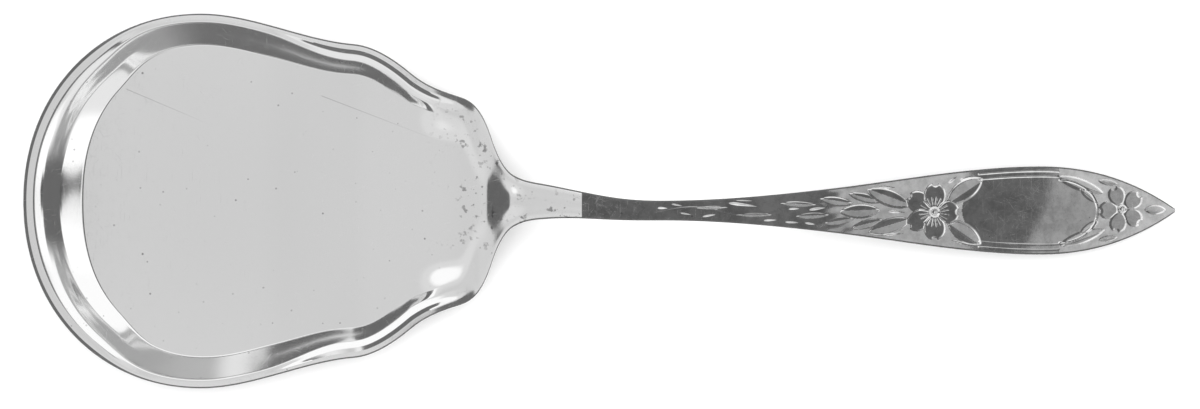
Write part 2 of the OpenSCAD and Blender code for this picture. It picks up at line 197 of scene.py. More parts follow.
def bowl_profile(half, band, drop, run, front, seat, top, rim, under, edge, dish, fade, start, end):
    """Distance out and height along each rib, from the middle of the floor over the rim and back below.

    Each value is a column with a row for each rib: the half width, the band of the rim and the drop of
    its ledge, the run of the wall and how far it has the tip's form, the half width of the foot, the
    heights of the floor, rim, underside and edge, the dish of the floor, and how far a plain slope takes
    the place of floor and wall, with its start and end.
    """
    ledge = rim - drop

    def slope(r):
        return (ledge - top) * smooth((r - start) / (end - start))

    inner = half - band
    wall = np.minimum(run, WALL_LIMIT * inner)
    margin = mix(WALL_MARGIN, TIP_WALL_MARGIN, front)
    outer = np.minimum(WALL_SPREAD * wall + margin, half - seat)
    lift = mix(dish, ledge - top, fade)
    f = np.append(np.linspace(0, 1, 22)[:-1], (0.985, 0.996))[None, :]
    floor_r = f * (inner - wall)
    floor_z = top + mix(dish * (floor_r / inner) ** 2, slope(floor_r), fade)
    f = np.linspace(0, 1, 45)[None, :]
    wall_r = inner - wall + f * wall
    d = dish * (wall_r / inner) ** 2
    wall_z = top + d + (ledge - top - d) * mix(side_wall(f), tip_wall(f), front)
    wall_z = mix(wall_z, top + slope(wall_r), fade)
    f = np.array([0.14, 0.28, LEDGE_FOOT, 0.49, 0.56, 0.63, LEDGE_TOP, 0.8, 0.9])[None, :]
    broken = mix(EDGE_BREAK, TIP_EDGE_BREAK, front)
    band_r = mix(inner, half - broken, f)
    step_up = np.interp(f, (0, LEDGE_FOOT, LEDGE_TOP), (0, LEDGE_RISE, 1))
    slope_up = np.interp(f, (0, LEDGE_FOOT, LEDGE_TOP), (0, TIP_LEDGE_RISE, 1))
    band_z = ledge + drop * mix(step_up, slope_up, front) - BAND_FALL * f**2
    f = np.linspace(0, 1, 4)[None, :]
    edge_r = half - broken * (1 - f)
    edge_z = rim - BAND_FALL - EDGE_FALL * f
    f = np.linspace(1, 0, 36)[None, :]
    under_r = mix(seat, half, f)
    t = np.clip((under_r - half + outer) / outer, 0, 1)
    under_z = under + mix(dish * f**2, slope(under_r), fade) + (edge - under - lift) * t**2
    r = np.hstack([floor_r, wall_r, band_r, edge_r, under_r, 0 * half])
    z = np.hstack([floor_z, wall_z, band_z, edge_z, under_z, under])
    return r, z


def ribs_behind(place):
    """Ribs square to the middle line, from the widest place back to the end of the shank."""
    half = bowl_half(place)
    lean = np.minimum(LEAN_LIMIT, np.hypot(1, steepness(bowl_half, place)))
    rim = bowl_rim(place)
    under = under_spine(place)
    shoulder = smooth((place - FOOT) / (SHOULDER - FOOT))
    band = mix(RIM_BAND, SHOULDER_BAND, shoulder) * lean
    band = mix(band, 2 * EDGE_FALL, smooth((place - CORNER) / (THROAT - CORNER)))
    band = np.minimum(band, BAND_LIMIT * half)
    drop = LEDGE_DROP * shoulder * (1 - smooth((place - WAIST) / (STEP - WAIST)))
    inner = half - band
    heel = smooth((place - CORNER) / (HEEL - CORNER))
    end = mix(inner, np.minimum(inner, STEP_REACH), heel)
    level = np.clip((place - THROAT) / (NECK - THROAT), 0, 1)
    foot = mix(FOOT_WIDTH / 2, TONGUE_END_WIDTH / 2, np.clip((place - FOOT) / (LAP - FOOT), 0, 1))
    return bowl_profile(
        half=half,
        band=band,
        drop=drop,
        run=wall_run(np.minimum(place, CORNER)) * lean,
        front=0 * place,
        seat=np.where(place >= LAP, tongue_half(place), foot),
        top=bowl_spine(place),
        rim=rim,
        under=under,
        edge=mix(rim - EDGE_HEIGHT, under, level),
        dish=FLOOR_DISH * (1 - smooth((place - WIDEST) / (CORNER - WIDEST))),
        fade=smooth((place - FADE) / FADE_RUN),
        start=end * mix(CLIMB_START, HEEL_START, heel),
        end=end,
    )


def ribs_in_front(angle):
    """Ribs that fan out from the widest place round the tip."""
    ahead = np.abs(np.cos(angle) / WIDEST) ** TIP_FULLNESS
    across = np.abs(np.sin(angle) * 2 / BOWL_WIDTH) ** TIP_FULLNESS
    same = np.ones_like(angle)
    near_tip = np.cos(angle) ** 2
    front = smooth(TIP_REACH * near_tip)
    rim = RIM_HEIGHT - TIP_DIP * near_tip
    return bowl_profile(
        half=(ahead + across) ** (-1 / TIP_FULLNESS),
        band=mix(RIM_BAND, TIP_BAND, front),
        drop=TIP_LEDGE_DROP * front,
        run=mix(SIDE_WALL_RUN, TIP_WALL_RUN, near_tip),
        front=front,
        seat=FOOT_WIDTH / 2 * same,
        top=FLOOR_HEIGHT * same,
        rim=rim,
        under=0 * same,
        edge=rim - EDGE_HEIGHT,
        dish=FLOOR_DISH * same,
        fade=0 * same,
        start=0 * same,
        end=same,
    )


def grid_faces(rows, columns):
    """Quads between neighbouring rows of points."""
    i, j = np.meshgrid(np.arange(rows - 1), np.arange(columns - 1), indexing="ij")
    a = (i * columns + j).ravel()
    return np.stack([a, a + 1, a + columns + 1, a + columns], axis=1).tolist()


def make_piece(name, points, faces, sharp, matt=None):
    """Closed mesh from points in millimetres, smooth but for edges sharper than that angle."""
    mesh = bpy.data.meshes.new(name)
    mesh.from_pydata((np.asarray(points) * 0.001).tolist(), [], faces)
    if matt is not None:
        mesh.attributes.new("matt", "FLOAT", "POINT").data.foreach_set("value", matt)
    work = bmesh.new()
    work.from_mesh(mesh)
    bmesh.ops.remove_doubles(work, verts=work.verts, dist=1e-6)
    bmesh.ops.recalc_face_normals(work, faces=work.faces)
    for face in work.faces:
        face.smooth = True
    work.to_mesh(mesh)
    work.free()
    mesh.set_sharp_from_angle(angle=math.radians(sharp))
    piece = bpy.data.objects.new(name, mesh)
    bpy.context.scene.collection.objects.link(piece)
    return piece


places = np.concatenate([np.linspace(WIDEST, WAIST, 60)[:-1], np.linspace(WAIST, SEAM, 76)])[:, None]
angles = np.radians(np.linspace(90, 270, 181))[1:-1, None]
back_r, back_z = ribs_behind(places)
front_r, front_z = ribs_in_front(angles)
back_x = np.broadcast_to(places - MIDDLE, back_r.shape)
aside = sideways(places)
left = np.stack([back_x, aside + back_r, back_z], axis=-1)
right = np.stack([back_x, aside - back_r, back_z], axis=-1)
front = np.stack([
    WIDEST - MIDDLE + front_r * np.cos(angles),
    front_r * np.sin(angles),
    front_z,
], axis=-1)
ribs = np.concatenate([left[::-1], front, right])
rows, columns = ribs.shape[:2]
first_rib = list(range(columns))
last_rib = list(range((rows - 1) * columns, rows * columns))
shank_end = first_rib[:-1] + last_rib[:0:-1]
faces = grid_faces(rows, columns) + [shank_end]
bowl = make_piece("bowl_visual", ribs.reshape(-1, 3), faces, sharp=38)


def add(tree, kind, inputs=None, **settings):
    """Node of that kind, with inputs that are values or are linked from other sockets."""
    made = tree.nodes.new(kind)
    for name, value in settings.items():
        setattr(made, name, value)
    for key, value in (inputs or {}).items():
        if isinstance(value, bpy.types.NodeSocket):
            tree.links.new(value, made.inputs[key])
        else:
            made.inputs[key].default_value = value
    return made


def step(tree, value, start, end, low=0.0, high=1.0):
    """Smooth step of a value between two limits."""
    made = add(
        tree,
        "ShaderNodeMapRange",
        {0: value, 1: start, 2: end, 3: low, 4: high},
        interpolation_type="SMOOTHSTEP",
    )
    return made.outputs[0]


def calc(tree, a, b, kind="ADD"):
    """Sum of two values, or what another kind of math node makes of them."""
    return add(tree, "ShaderNodeMath", {0: a, 1: b}, operation=kind).outputs[0]


def absolute(tree, value):
    """Value without its sign."""
    return add(tree, "ShaderNodeMath", {0: value}, operation="ABSOLUTE").outputs[0]


def blend(tree, share, a, b):
    """Colour between two colours, each a grey or a socket."""
    a, b = ((v, v, v, 1) if isinstance(v, float) else v for v in (a, b))
    return add(tree, "ShaderNodeMix", {0: share, 6: a, 7: b}, data_type="RGBA").outputs[2]


wear = bpy.data.node_groups.new("Silver wear", "ShaderNodeTree")
for output in ("Scratch", "Speck", "Wave", "Haze"):
    wear.interface.new_socket(name=output, in_out="OUTPUT", socket_type="NodeSocketFloat")
where = add(wear, "ShaderNodeTexCoord").outputs["Object"]
scratch = None
for turn, length, width in (
    (14, 2.4, 0.05), (52, 2, 0.045), (88, 3, 0.05), (127, 2, 0.045), (163, 2.6, 0.05),
):
    streak = add(
        wear,
        "ShaderNodeMapping",
        {
            "Vector": where,
            "Rotation": (0, 0, math.radians(turn)),
            "Scale": (length * 0.001, width * 0.001, 0.02),
        },
        vector_type="TEXTURE",
    )
    noise = add(wear, "ShaderNodeTexNoise", {"Vector": streak.outputs[0], "Scale": 1.0, "Detail": 1.0})
    line = step(wear, noise.outputs[0], 0.68, 0.82)
    scratch = line if scratch is None else calc(wear, scratch, line, "MAXIMUM")
speck = None
for fine, radius, share in ((330.0, 0.07, 0.45), (520.0, 0.1, 0.45), (900.0, 0.13, 0.75)):
    cells = add(wear, "ShaderNodeTexVoronoi", {"Vector": where, "Scale": fine})
    kept = add(wear, "ShaderNodeSeparateColor", {0: cells.outputs["Color"]})
    dot = step(wear, cells.outputs["Distance"], 0.02, radius, 1.0, 0.0)
    dot = calc(wear, dot, step(wear, kept.outputs[0], share, 1.0), "MULTIPLY")
    speck = dot if speck is None else calc(wear, speck, dot, "MAXIMUM")
wave = add(wear, "ShaderNodeTexNoise", {"Vector": where, "Scale": 70.0, "Detail": 1.0})
haze = add(wear, "ShaderNodeTexNoise", {"Vector": where, "Scale": 500.0, "Detail": 5.0, "Roughness": 0.7})
add(
    wear,
    "NodeGroupOutput",
    {
        "Scratch": scratch,
        "Speck": speck,
        "Wave": wave.outputs[0],
        "Haze": step(wear, haze.outputs[0], 0.35, 0.7),
    },
)


def silver(name):
    """Material with a metal shader and the wear group, ready to be linked."""
    made = bpy.data.materials.new(name)
    made.use_nodes = True
    tree = made.node_tree
    tree.nodes.clear()
    group = add(tree, "ShaderNodeGroup", node_tree=wear)
    shader = add(tree, "ShaderNodeBsdfPrincipled", {"Metallic": 1.0})
    add(tree, "ShaderNodeOutputMaterial", {"Surface": shader.outputs[0]})
    return made, tree, group.outputs, shader


bowl_silver, tree, worn, shader = silver("Bowl silver")
where = add(tree, "ShaderNodeTexCoord").outputs["Object"]
grain = add(tree, "ShaderNodeTexNoise", {"Vector": where, "Scale": 1300.0, "Detail": 2.0})
patch = add(tree, "ShaderNodeTexNoise", {"Vector": where, "Scale": 160.0, "Detail": 1.0})
place = add(tree, "ShaderNodeSeparateXYZ", {0: where})
near_heel = step(tree, place.outputs["X"], -0.024, -0.016)
pits = calc(tree, step(tree, patch.outputs[0], 0.45, 0.62), near_heel, "MULTIPLY")
pits = calc(tree, step(tree, grain.outputs[0], 0.58, 0.7), pits, "MULTIPLY")
for start, turn, length in (((-0.063, 0.0149), -23, 0.0135), ((-0.0372, 0.014), -21, 0.0195)):
    mark = add(
        tree,
        "ShaderNodeMapping",
        {"Vector": where, "Location": (*start, 0), "Rotation": (0, 0, math.radians(turn))},
        vector_type="TEXTURE",
    )
    mark = add(tree, "ShaderNodeSeparateXYZ", {0: mark.outputs[0]}).outputs
    starts = step(tree, mark["X"], 0.0, 0.0005)
    fades = step(tree, mark["X"], 0.001, length, 1.0, 0.0)
    narrow = step(tree, absolute(tree, mark["Y"]), 0.00003, 0.00009, 0.4, 0.0)
    line = calc(tree, calc(tree, starts, fades, "MULTIPLY"), narrow, "MULTIPLY")
    pits = calc(tree, pits, line, "MAXIMUM")
tone = blend(tree, calc(tree, worn["Speck"], pits, "MAXIMUM"), 0.93, 0.36)
rough = add(tree, "ShaderNodeMapRange", {0: worn["Scratch"], 3: 0.11, 4: 0.3})
waves = add(tree, "ShaderNodeBump", {"Height": worn["Wave"], "Strength": 1.0, "Distance": 0.00002})
lines = add(
    tree,
    "ShaderNodeBump",
    {"Height": worn["Scratch"], "Strength": 1.0, "Distance": 0.0000006, "Normal": waves.outputs[0]},
    invert=True,
)
tree.links.new(tone, shader.inputs["Base Color"])
tree.links.new(rough.outputs[0], shader.inputs["Roughness"])
tree.links.new(lines.outputs[0], shader.inputs["Normal"])
bowl.data.materials.append(bowl_silver)
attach(bowl, "root")
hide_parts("bowl")

# Solder seam
# A thin film of silver solder that was run between the shank and the tongue below it. Only its
# edge shows, as a dull line along both sides of the lap.
SOLDER_FILM = 0.1
SOLDER_SPILL = 0.12

places = np.linspace(LAP, SEAM, 60)
film_top = under_spine(places)
film_half = tongue_half(places)
film = []
for across, down in ((-1, 0), (-1, 0.5), (-1, 1), (1, 1), (1, 0.5), (1, 0)):
    spill = SOLDER_SPILL * (1 - abs(2 * down - 1))
    y = across * (film_half + spill) + sideways(places)
    film.append(np.stack([places - MIDDLE, y, film_top - SOLDER_FILM * down], axis=-1))
film.append(film[0])
film = np.stack(film, axis=1)
rows, columns = film.shape[:2]
film_ends = [list(range(columns - 1)), list(range((rows - 1) * columns, rows * columns - 1))]
faces = grid_faces(rows, columns) + film_ends
solder = make_piece("solder_seam_visual", film.reshape(-1, 3), faces, sharp=50)

solder_dull, tree, worn, shader = silver("Dull solder")
shader.inputs["Base Color"].default_value = (0.62, 0.62, 0.6, 1)
rough = add(tree, "ShaderNodeMapRange", {0: worn["Haze"], 3: 0.35, 4: 0.55})
tree.links.new(rough.outputs[0], shader.inputs["Roughness"])
solder.data.materials.append(solder_dull)
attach(solder, "root")
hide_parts("solder_seam")

# Handle
# One struck bar of silver: a slim stem that widens into a lance-shaped panel, with a tongue under its
# front end. Sprigs, two flowers, leaves and a plain framed panel are struck and cut into its upper face.
TAPER, PANEL, TIP = 106, 134, 152
STEM_DEPTH = 3
PANEL_SIDE_SHARE = 0.62
TONGUE_END_DEPTH = 0.6
HANDLE_FALL = 8.8

handle_half = curve([
    (NECK, NECK_HALF, 0.7),
    (SEAM, SEAM_HALF, 1.3),
    (STEM, STEM_HALF, 0),
    (TAPER, 2.85, 1.3),
    (PANEL, PANEL_HALF, 0),
    (TIP, 0.2, 2.2),
])
handle_depth = curve([(SEAM, STEM_DEPTH, 0), (PANEL, 1.9, 1), (TIP, 1.2, 1)])


def handle_spine(place):
    """Height of the handle's upper face along its middle."""
    t = (place - SEAM) / (TIP - SEAM)
    return NECK_HEIGHT - HANDLE_FALL * mix(t**2, t, 0.25)


def leaf_edge(s, t, base, tip, width, swell=1.0):
    """Distance in from the edge of a pointed leaf and from its midrib. Swell fills it towards the tip."""
    run = np.subtract(tip, base)
    length = np.hypot(*run)
    u = ((s - base[0]) * run[0] + (t - base[1]) * run[1]) / length**2
    v = ((t - base[1]) * run[0] - (s - base[0]) * run[1]) / length
    w = np.clip(u, 0, 1) ** swell
    half = width / 2 * (4 * w * (1 - w)) ** 0.75
    return np.where((u > 0) & (u < 1), half - np.abs(v), -1), v


def petal_edge(s, t, centre, angle, near, far, width):
    """Distance in from the edge of a rounded petal with a notch in its outer end."""
    c, d = math.cos(math.radians(angle)), math.sin(math.radians(angle))
    u = (s - centre[0]) * c + (t - centre[1]) * d
    v = (t - centre[1]) * c - (s - centre[0]) * d
    length = (far - near) / 2
    across = width / 2 * (0.78 + 0.22 * (u - near) / (far - near))
    oval = 1 - np.hypot((u - near - length) / length, v / np.maximum(across, 0.1))
    notch = np.hypot(u - far, v) - 0.35
    return np.minimum(oval * min(length, width / 2), notch)


FLOWER = (119.75, -0.2)
PETALS = ((148, 4.1, 3.2), (208, 4.0, 3.0), (88, 3.8, 3.2), (271, 3.7, 3.2), (0, 3.3, 3.4))
TIP_FLOWER = (144.8, 0.2)
TIP_PETALS = (185, 112, 38, 323, 254)
LEAVES = (
    ((92.6, 0.4), (88.4, 0.3), 0.5),
    ((98.4, -0.6), (93.8, -0.6), 0.6),
    ((104.2, 0.7), (99.4, 0.9), 0.8),
    ((105.9, -0.6), (101.4, -0.8), 0.9),
    ((109.0, 0.9), (104.6, 1.5), 1.2),
    ((109.2, -1.0), (105.2, -1.7), 1.1),
    ((112.6, 0.0), (107.2, -0.2), 1.9),
    ((112.8, 1.1), (108.4, 2.2), 1.2),
    ((113.0, -1.2), (108.8, -2.3), 1.2),
    ((116.6, 0.6), (110.8, 2.7), 2.2),
    ((116.6, -1.2), (111.0, -2.9), 2.1),
    ((121.4, 1.1), (126.1, 4.2), 2.6),
    ((121.5, -1.4), (125.9, -4.4), 2.4),
    ((136.2, 4.5), (142.3, 2.3), 1.6),
    ((136.4, -4.6), (142.5, -2.5), 1.6),
    ((139.2, 2.8), (141.6, 1.0), 0.9),
    ((139.2, -3.0), (141.6, -1.3), 0.9),
    ((141.6, 3.9), (144.2, 3.5), 0.8),
    ((141.6, -3.9), (144.2, -3.5), 0.8),
    ((147.8, 0.1), (150.7, 0.1), 1.3),
)
CUTS = (
    ((84.9, 0.3), (83.4, 0.35), 0.3),
    ((87.2, 0.5), (85.1, 0.9), 0.2),
    ((88.3, -0.6), (86.3, -0.3), 0.2),
    ((91.6, -0.4), (89.2, -0.8), 0.25),
    ((97.3, 0.45), (92.6, 1.0), 0.4),
    ((96.6, 1.25), (93.4, 1.4), 0.2),
    ((99.6, -1.2), (97.2, -1.3), 0.25),
    ((102.4, 0.3), (100.5, 0.2), 0.25),
    ((102.5, -1.6), (100.0, -1.5), 0.25),
    ((106.0, 0.5), (103.2, 0.1), 0.35),
    ((104.6, -1.9), (102.6, -1.6), 0.25),
    ((114.8, 3.0), (112.4, 3.1), 0.3),
    ((116.0, -3.0), (113.0, -3.2), 0.3),
    ((116.2, -0.3), (113.6, -0.1), 0.35),
    ((122.9, 4.6), (121.6, 3.6), 0.35),
    ((124.9, 4.6), (123.1, 4.0), 0.3),
    ((125.3, -4.8), (122.0, -3.9), 0.3),
)
CUT_SWELL = 2.2
STAMENS = 20
STAMEN_START, STAMEN_END, STAMEN_HALF, STAMEN_SLOPE = 0.85, 2.0, 0.085, 0.5
FLOWER_RING, TIP_FLOWER_RING, RING_FLAT, RING_SLOPE = 0.8, 0.6, 0.4, 0.4
EYE_RADIUS, EYE_SLOPE = 0.38, 0.9
BRANCH_START, BRANCH_END, BRANCH_HALF, BRANCH_SLOPE = 83, 105, 0.09, 0.17
MIDRIB_HALF, MIDRIB_SLOPE, MIDRIB_SET = 0.08, 0.2, 0.12
BEVEL = 0.25
LEAF_SLOPE, PETAL_SLOPE, TIP_PETAL_SLOPE, CUT_SLOPE = 0.18, 0.17, 0.13, 0.4
CALM_EDGE = 0.5

# The plain panel has a bowed front, straight sides with two threads, and a round back with one.
PLAIN_FRONT, PLAIN_BOW, PLAIN_HALF = 126.2, 2.8, 4.2
PLAIN_BACK, PLAIN_BACK_LENGTH, PLAIN_BACK_HALF, PLAIN_BACK_SET = 136.3, 5.2, 4.1, -0.1
PLAIN_BACK_RADIUS, PLAIN_BACK_LINE = 4.4, 0.13
THREAD_START, THREAD_END, THREAD_HALF = 125.6, 136.4, 0.11
THREAD_INSETS = (0.6, 1.3)

# The ground between the leaves turns matt along the handle, but not beside the threads.
GROUND_START, GROUND_RUN = 103, 7
GROUND_SIDE, GROUND_SIDE_END = 1.4, 130
GROUND_FADE, GROUND_FADE_RUN = 122.5, 4.5
LEAF_MATT = 0.8


def ornament(s, t):
    """Height of the struck and cut ornament over the plain face, and how matt the face is."""
    side = handle_half(s) - np.abs(t)
    oval = np.hypot((s - PLAIN_BACK) / PLAIN_BACK_LENGTH, (t - PLAIN_BACK_SET) / PLAIN_BACK_HALF)
    panel_front = PLAIN_FRONT - PLAIN_BOW * np.clip(1 - (t / PLAIN_HALF) ** 2, 0, 1)
    at_back = s > PLAIN_BACK
    plain_panel = np.where(at_back, oval < 1, s > panel_front)
    height = np.zeros_like(s)
    ragged = 1.3 * np.sin(2.1 * t + 0.9 * s) + 0.9 * np.sin(4.7 * t - 1.7 * s)
    ground = smooth((s + ragged - GROUND_START) / GROUND_RUN)
    matt = ground * ~plain_panel
    beside = (side < GROUND_SIDE) & (s < GROUND_SIDE_END)
    matt[beside] = (ground * (1 - smooth((s - GROUND_FADE) / GROUND_FADE_RUN)))[beside]

    def struck(edge, slope, bevel=BEVEL):
        height[edge > 0] = (slope * np.clip(edge, 0, bevel))[edge > 0]
        matt[edge > 0] = 0

    def cut(edge, slope=CUT_SLOPE):
        height[edge > 0] -= slope * edge[edge > 0]
        matt[edge > 0] = 0

    branch = 0.4 * handle_half(s) * np.sin((s - 84) * 0.42)
    on_branch = (s > BRANCH_START) & (s < BRANCH_END)
    cut(np.where(on_branch, BRANCH_HALF - np.abs(t - branch), -1), BRANCH_SLOPE)
    for base, tip, width in LEAVES:
        edge, across = leaf_edge(s, t, base, tip, width)
        midrib = across + MIDRIB_SET * width
        struck(edge, LEAF_SLOPE, min(BEVEL, width / 6))
        matt[(edge > width / 8) & (midrib > 0)] = LEAF_MATT
        cut(np.where(edge > 0, MIDRIB_HALF - np.abs(midrib), -1), MIDRIB_SLOPE)
    for angle, far, width in PETALS:
        struck(petal_edge(s, t, FLOWER, angle, 0.3, far, width), PETAL_SLOPE)
    for angle in TIP_PETALS:
        struck(petal_edge(s, t, TIP_FLOWER, angle, 0.5, 3.2, 2.6), TIP_PETAL_SLOPE)
    r = np.hypot(s - FLOWER[0], t - FLOWER[1])
    share = (np.arctan2(t - FLOWER[1], s - FLOWER[0]) / (2 * np.pi) * STAMENS) % 1 - 0.5
    aside = r * np.abs(share) * 2 * np.pi / STAMENS
    on_stamens = (r > STAMEN_START) & (r < STAMEN_END)
    cut(np.where(on_stamens, STAMEN_HALF - aside, -1), STAMEN_SLOPE)
    for centre, ring in ((FLOWER, FLOWER_RING), (TIP_FLOWER, TIP_FLOWER_RING)):
        r = np.hypot(s - centre[0], t - centre[1])
        struck(ring - r, RING_SLOPE, ring - RING_FLAT)
        cut(EYE_RADIUS - r, EYE_SLOPE)
    for base, tip, width in CUTS:
        cut(leaf_edge(s, t, base, tip, width, CUT_SWELL)[0])
    framed = (s > THREAD_START) & (s < THREAD_END)
    for inset in THREAD_INSETS:
        cut(np.where(framed, THREAD_HALF - np.abs(side - inset), -1))
    cut(np.where(at_back, PLAIN_BACK_LINE - PLAIN_BACK_RADIUS * np.abs(oval - 1), -1))
    return height * np.clip(side / CALM_EDGE, 0, 1), matt


TOP_POINTS = 131
BELLY_POINTS = 13
BELLY_SHARE, BELLY_FULLNESS = 0.6, 0.87
ROUNDED_LIMIT = 0.4
# Stretches of the handle and how far apart the rows of points lie in each, closest in the ornament.
spans = (
    (SEAM, 82, 0.35),
    (82, 103, 0.15),
    (103, 115.5, 0.11),
    (115.5, 126.5, 0.085),
    (126.5, 136, 0.25),
    (136, 150.8, 0.095),
    (150.8, TIP, 0.08),
)
places = np.concatenate([np.arange(start, end - step_by / 2, step_by) for start, end, step_by in spans])
places = np.append(places, TIP)
half = handle_half(places)[:, None]
spine = handle_spine(places)[:, None]
depth = handle_depth(places)[:, None]
seam_share = (SHEET + SOLDER_FILM) / STEM_DEPTH
share = mix(seam_share, PANEL_SIDE_SHARE, smooth((places - SEAM) / (TAPER - SEAM)))[:, None]
low = spine - share * depth
rounded = np.minimum(EDGE_BREAK, ROUNDED_LIMIT * half)
crest = CROWN * (half / PANEL_HALF) ** 2
q = np.linspace(-1, 1, TOP_POINTS)[None, :]
top_y = q * (half - rounded)
relief, top_matt = ornament(np.broadcast_to(places[:, None], top_y.shape), top_y)
top_z = spine - crest * q**2 + relief
f = np.linspace(0, 1, 4)[None, 1:]
edge_y = half - rounded * (1 - f)
edge_z = spine - crest - EDGE_FALL * f
upper_y = np.hstack([-half, -edge_y[:, ::-1], top_y, edge_y, half])
upper_z = np.hstack([low, edge_z[:, ::-1], top_z, edge_z, low])
belly_half = np.maximum(half - LAP_LEDGE, BELLY_SHARE * half)
turn = np.radians(np.linspace(0, 180, BELLY_POINTS))[None, :]
belly_y = np.sign(np.cos(turn)) * np.abs(np.cos(turn)) ** BELLY_FULLNESS
belly_z = np.sin(turn) ** BELLY_FULLNESS
loops_y = np.hstack([belly_half * belly_y, upper_y])
loops_z = np.hstack([low - (1 - share) * depth * belly_z, upper_z])
across = sideways(places)[:, None]
bar_x = np.broadcast_to(places[:, None] - MIDDLE, loops_y.shape)
bar = np.stack([bar_x, loops_y + across, loops_z], axis=-1)

laps = np.linspace(LAP, SEAM, 40)[:-1]
t = ((laps - LAP) / (SEAM - LAP))[:, None]
tongue_top = under_spine(laps)[:, None] - SOLDER_FILM
tongue_depth = mix(TONGUE_END_DEPTH, STEM_DEPTH - SHEET - SOLDER_FILM, t)
tongue_y = tongue_half(laps)[:, None] * belly_y + sideways(laps)[:, None]
tongue_z = tongue_top - tongue_depth * belly_z
tongue_x = np.broadcast_to(laps[:, None] - MIDDLE, tongue_y.shape)
tongue = np.stack([tongue_x, tongue_y, tongue_z], axis=-1)

rows, columns = bar.shape[:2]
bar = np.concatenate([bar, bar[:, :1]], axis=1)
faces = grid_faces(rows, columns + 1)
start = rows * (columns + 1)
joined = np.concatenate([tongue, bar[:1, :BELLY_POINTS]])
under = grid_faces(len(joined), BELLY_POINTS)
faces += [[start + i for i in face] for face in under]
for i in range(len(joined) - 1):
    a = start + i * BELLY_POINTS
    faces.append([a, a + BELLY_POINTS, a + 2 * BELLY_POINTS - 1, a + BELLY_POINTS - 1])
faces.append(list(range(start, start + BELLY_POINTS)))
faces.append([0] + list(range(BELLY_POINTS - 1, columns)))
faces.append(list(range((rows - 1) * (columns + 1), rows * (columns + 1) - 1)))
points = np.concatenate([bar.reshape(-1, 3), joined.reshape(-1, 3)])
matt = np.zeros((rows, columns + 1))
first_top = BELLY_POINTS + 1 + edge_y.shape[1]
matt[:, first_top:first_top + TOP_POINTS] = top_matt
matt = np.concatenate([matt.ravel(), np.zeros(joined.shape[0] * joined.shape[1])])
handle = make_piece("handle_visual", points, faces, sharp=55, matt=matt)

handle_silver, tree, worn, shader = silver("Handle silver")
matt_ground = add(tree, "ShaderNodeAttribute", attribute_name="matt").outputs["Fac"]
tone = blend(tree, worn["Haze"], blend(tree, worn["Speck"], 0.88, 0.3), 0.62)
polish = add(tree, "ShaderNodeMapRange", {0: worn["Scratch"], 3: 0.04, 4: 0.2})
rough = add(tree, "ShaderNodeMix", {0: matt_ground, 2: polish.outputs[0], 3: 0.4})
mottle = add(tree, "ShaderNodeBump", {"Height": worn["Haze"], "Strength": 1.0, "Distance": 0.0000004})
lines = add(
    tree,
    "ShaderNodeBump",
    {"Height": worn["Scratch"], "Strength": 1.0, "Distance": 0.0000008, "Normal": mottle.outputs[0]},
    invert=True,
)
tree.links.new(tone, shader.inputs["Base Color"])
tree.links.new(rough.outputs[0], shader.inputs["Roughness"])
tree.links.new(lines.outputs[0], shader.inputs["Normal"])
handle.data.materials.append(handle_silver)
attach(handle, "root")
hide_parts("handle")

# Table
# A plain pale sheet that the spoon lies on. It is not part of the spoon. Its colour is painted dark
# for rays mirrored in the silver, a painted dark reflection, so that the edges of the spoon stand out.
table_mesh = bpy.data.meshes.new("table")
table_mesh.from_pydata([(-3, -3, 0), (3, -3, 0), (3, 3, 0), (-3, 3, 0)], [], [(0, 1, 2, 3)])
table = bpy.data.objects.new("table", table_mesh)
bpy.context.scene.collection.objects.link(table)
table_pale = bpy.data.materials.new("Pale table")
table_pale.use_nodes = True
table_shader = table_pale.node_tree.nodes["Principled BSDF"]
mirrored = add(table_pale.node_tree, "ShaderNodeLightPath").outputs["Is Glossy Ray"]
# Painted dark reflection: the table's colour turns dark for glossy rays, where the silver mirrors it.
table_tone_painted_dark_reflection = blend(table_pale.node_tree, mirrored, 0.9, 0.1)
table_pale.node_tree.links.new(table_tone_painted_dark_reflection, table_shader.inputs["Base Color"])
table_shader.inputs["Roughness"].default_value = 0.9
table_shader.inputs["Specular IOR Level"].default_value = 0.0
table.data.materials.append(table_pale)

# Light
# A soft studio surround with pale panels and dark gaps for the silver to mirror, and a wide soft lamp
# that lights the table only.
world = bpy.data.worlds.new("Studio")
bpy.context.scene.world = world
world.use_nodes = True
tree = world.node_tree
tree.nodes.clear()
way = add(tree, "ShaderNodeSeparateXYZ", {0: add(tree, "ShaderNodeTexCoord").outputs["Generated"]}).outputs


def degrees_from_up(side):
    """Angle of a direction from straight up, seen along one axis."""
    turn = add(tree, "ShaderNodeMath", {0: side, 1: way["Z"]}, operation="ARCTAN2")
    return add(tree, "ShaderNodeMath", {0: turn.outputs[0]}, operation="DEGREES").outputs[0]


def by_angle(angle, limit, stops):
    """Grey of the surround by angle in degrees, from minus the limit to plus the limit."""
    share = add(tree, "ShaderNodeMapRange", {0: angle, 1: -limit, 2: limit})
    ramp = add(tree, "ShaderNodeValToRGB", {0: share.outputs[0]})
    for i, (at, grey) in enumerate(stops):
        place = (at + limit) / (2 * limit)
        if i < 2:
            element = ramp.color_ramp.elements[i]
            element.position = place
        else:
            element = ramp.color_ramp.elements.new(place)
        element.color = (grey, grey, grey, 1)
    return ramp.outputs[0]


